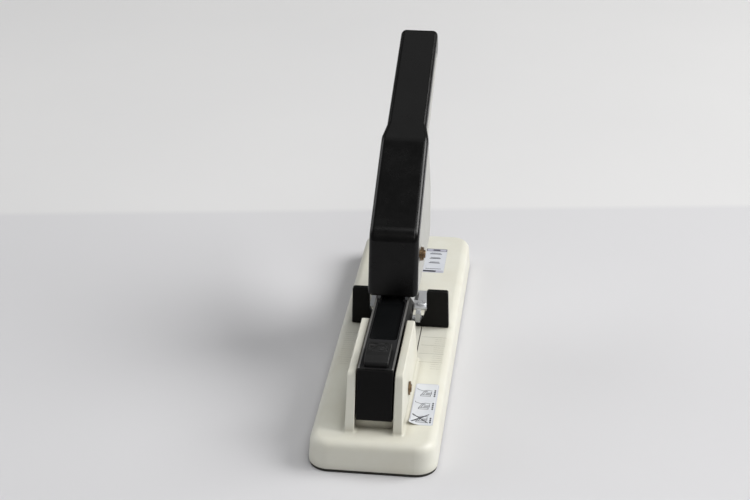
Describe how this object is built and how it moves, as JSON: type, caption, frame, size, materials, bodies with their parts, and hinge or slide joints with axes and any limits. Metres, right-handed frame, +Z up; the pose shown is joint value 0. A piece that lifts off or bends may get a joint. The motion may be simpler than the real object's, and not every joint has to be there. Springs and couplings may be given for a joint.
{
  "type": "heavy-duty stapler",
  "caption": "Long-lever bench stapler: cream base with rear fork, black hinged magazine arm, cream lever with a black cover, sliding paper guide, zinc anvil plate.",
  "frame": {"origin": "centre of the underside of the rubber mat, on the surface that the stapler stands on", "axes": "+Z up, +Y along the base towards the end where paper goes in, +X to the right seen from the rear"},
  "size_m": [0.0736, 0.269, 0.1704],
  "materials": {
    "cream_shell": "satin moulded cream",
    "rubber": "matt moulded rubber",
    "zinc_steel": "bright zinc plate",
    "hardened_steel": "ground and hardened",
    "yellow_zinc": "yellow zinc plate",
    "spring_steel": "oiled spring steel",
    "dark_steel": "blackened steel",
    "staple_wire": "bright wire",
    "label": "coated white sticker",
    "black_plastic": "fine-textured black",
    "black_steel": "semi-gloss black paint",
    "handle_black": "smooth black",
    "lever_paint": "light cream paint",
    "nylon": "natural nylon"
  },
  "bodies": {
    "base": {"base_shell": "cream_shell", "bottom_plate": "zinc_steel", "rubber_mat": "rubber", "base_screws": "zinc_steel", "anvil_plate": "zinc_steel", "anvil_block": "hardened_steel", "anvil_screws": "zinc_steel", "rear_pivot_pin": "yellow_zinc", "rear_pivot_clips": "yellow_zinc", "lift_spring": "spring_steel", "instruction_label": "label", "front_label": "label"},
    "guide": {"paper_guide": "black_plastic", "guide_bracket": "zinc_steel", "guide_slider": "spring_steel"},
    "arm": {"arm_channel": "black_steel", "pivot_washers": "nylon", "arm_cover": "black_plastic", "key_spring": "spring_steel", "staple_rail": "zinc_steel", "nose_plate": "hardened_steel", "staple_strip": "staple_wire", "arm_rivets": "dark_steel", "front_plate": "black_steel", "head_plate_left": "zinc_steel", "head_plate_right": "zinc_steel", "driver_guide_front": "dark_steel", "driver_guide_rear": "dark_steel", "handle_pivot_pin": "yellow_zinc", "handle_pivot_washer": "yellow_zinc", "handle_pivot_clip": "yellow_zinc", "return_spring": "spring_steel"},
    "key": {"release_key": "black_plastic"},
    "driver": {"driver_block": "dark_steel", "driver_blade": "hardened_steel"},
    "drawer": {"rear_cap": "black_plastic", "pusher_rod": "spring_steel", "pusher_spring": "spring_steel"},
    "pusher": {"staple_pusher": "black_plastic"},
    "handle": {"handle_cover": "handle_black", "handle_side_left": "lever_paint", "handle_side_right": "lever_paint", "handle_lever": "dark_steel", "handle_core": "zinc_steel", "drive_pin": "hardened_steel", "handle_rivets": "dark_steel"}
  },
  "joints": [
    {"name": "arm_hinge", "type": "hinge", "parent": "base", "child": "arm", "pos_m": [0, -0.086, 0.0285], "axis": [-1, 0, 0], "range_deg": [0, 4.4], "stiffness_Nm_per_rad": 4, "springref_deg": -14.32, "deforming": ["lift_spring"]},
    {"name": "handle_hinge", "type": "hinge", "parent": "arm", "child": "handle", "pos_m": [0, -0.013, 0.0785], "axis": [-1, 0, 0], "range_deg": [0, 20], "stiffness_Nm_per_rad": 1.5, "springref_deg": -20.05},
    {"name": "driver_slide", "type": "slide", "parent": "arm", "child": "driver", "axis": [0, 0, -1], "range_m": [0, 0.0186]},
    {"name": "guide_slide", "type": "slide", "parent": "base", "child": "guide", "axis": [0, 1, 0], "range_m": [-0.036, 0.008]},
    {"name": "key_press", "type": "slide", "parent": "arm", "child": "key", "axis": [0, 0, -1], "range_m": [0, 0.0014], "stiffness_N_per_m": 400, "springref_m": -0.002, "deforming": ["key_spring"]},
    {"name": "drawer_slide", "type": "slide", "parent": "arm", "child": "drawer", "axis": [0, -1, 0], "range_m": [0, 0.09]},
    {"name": "pusher_slide", "type": "slide", "parent": "drawer", "child": "pusher", "axis": [0, -1, 0], "range_m": [0, 0.04], "stiffness_N_per_m": 60, "springref_m": -0.05, "deforming": ["pusher_spring"]}
  ],
  "couplings": [
    {"joint": "driver_slide", "follows": "handle_hinge", "m_per_rad": 0.052535}
  ]
}
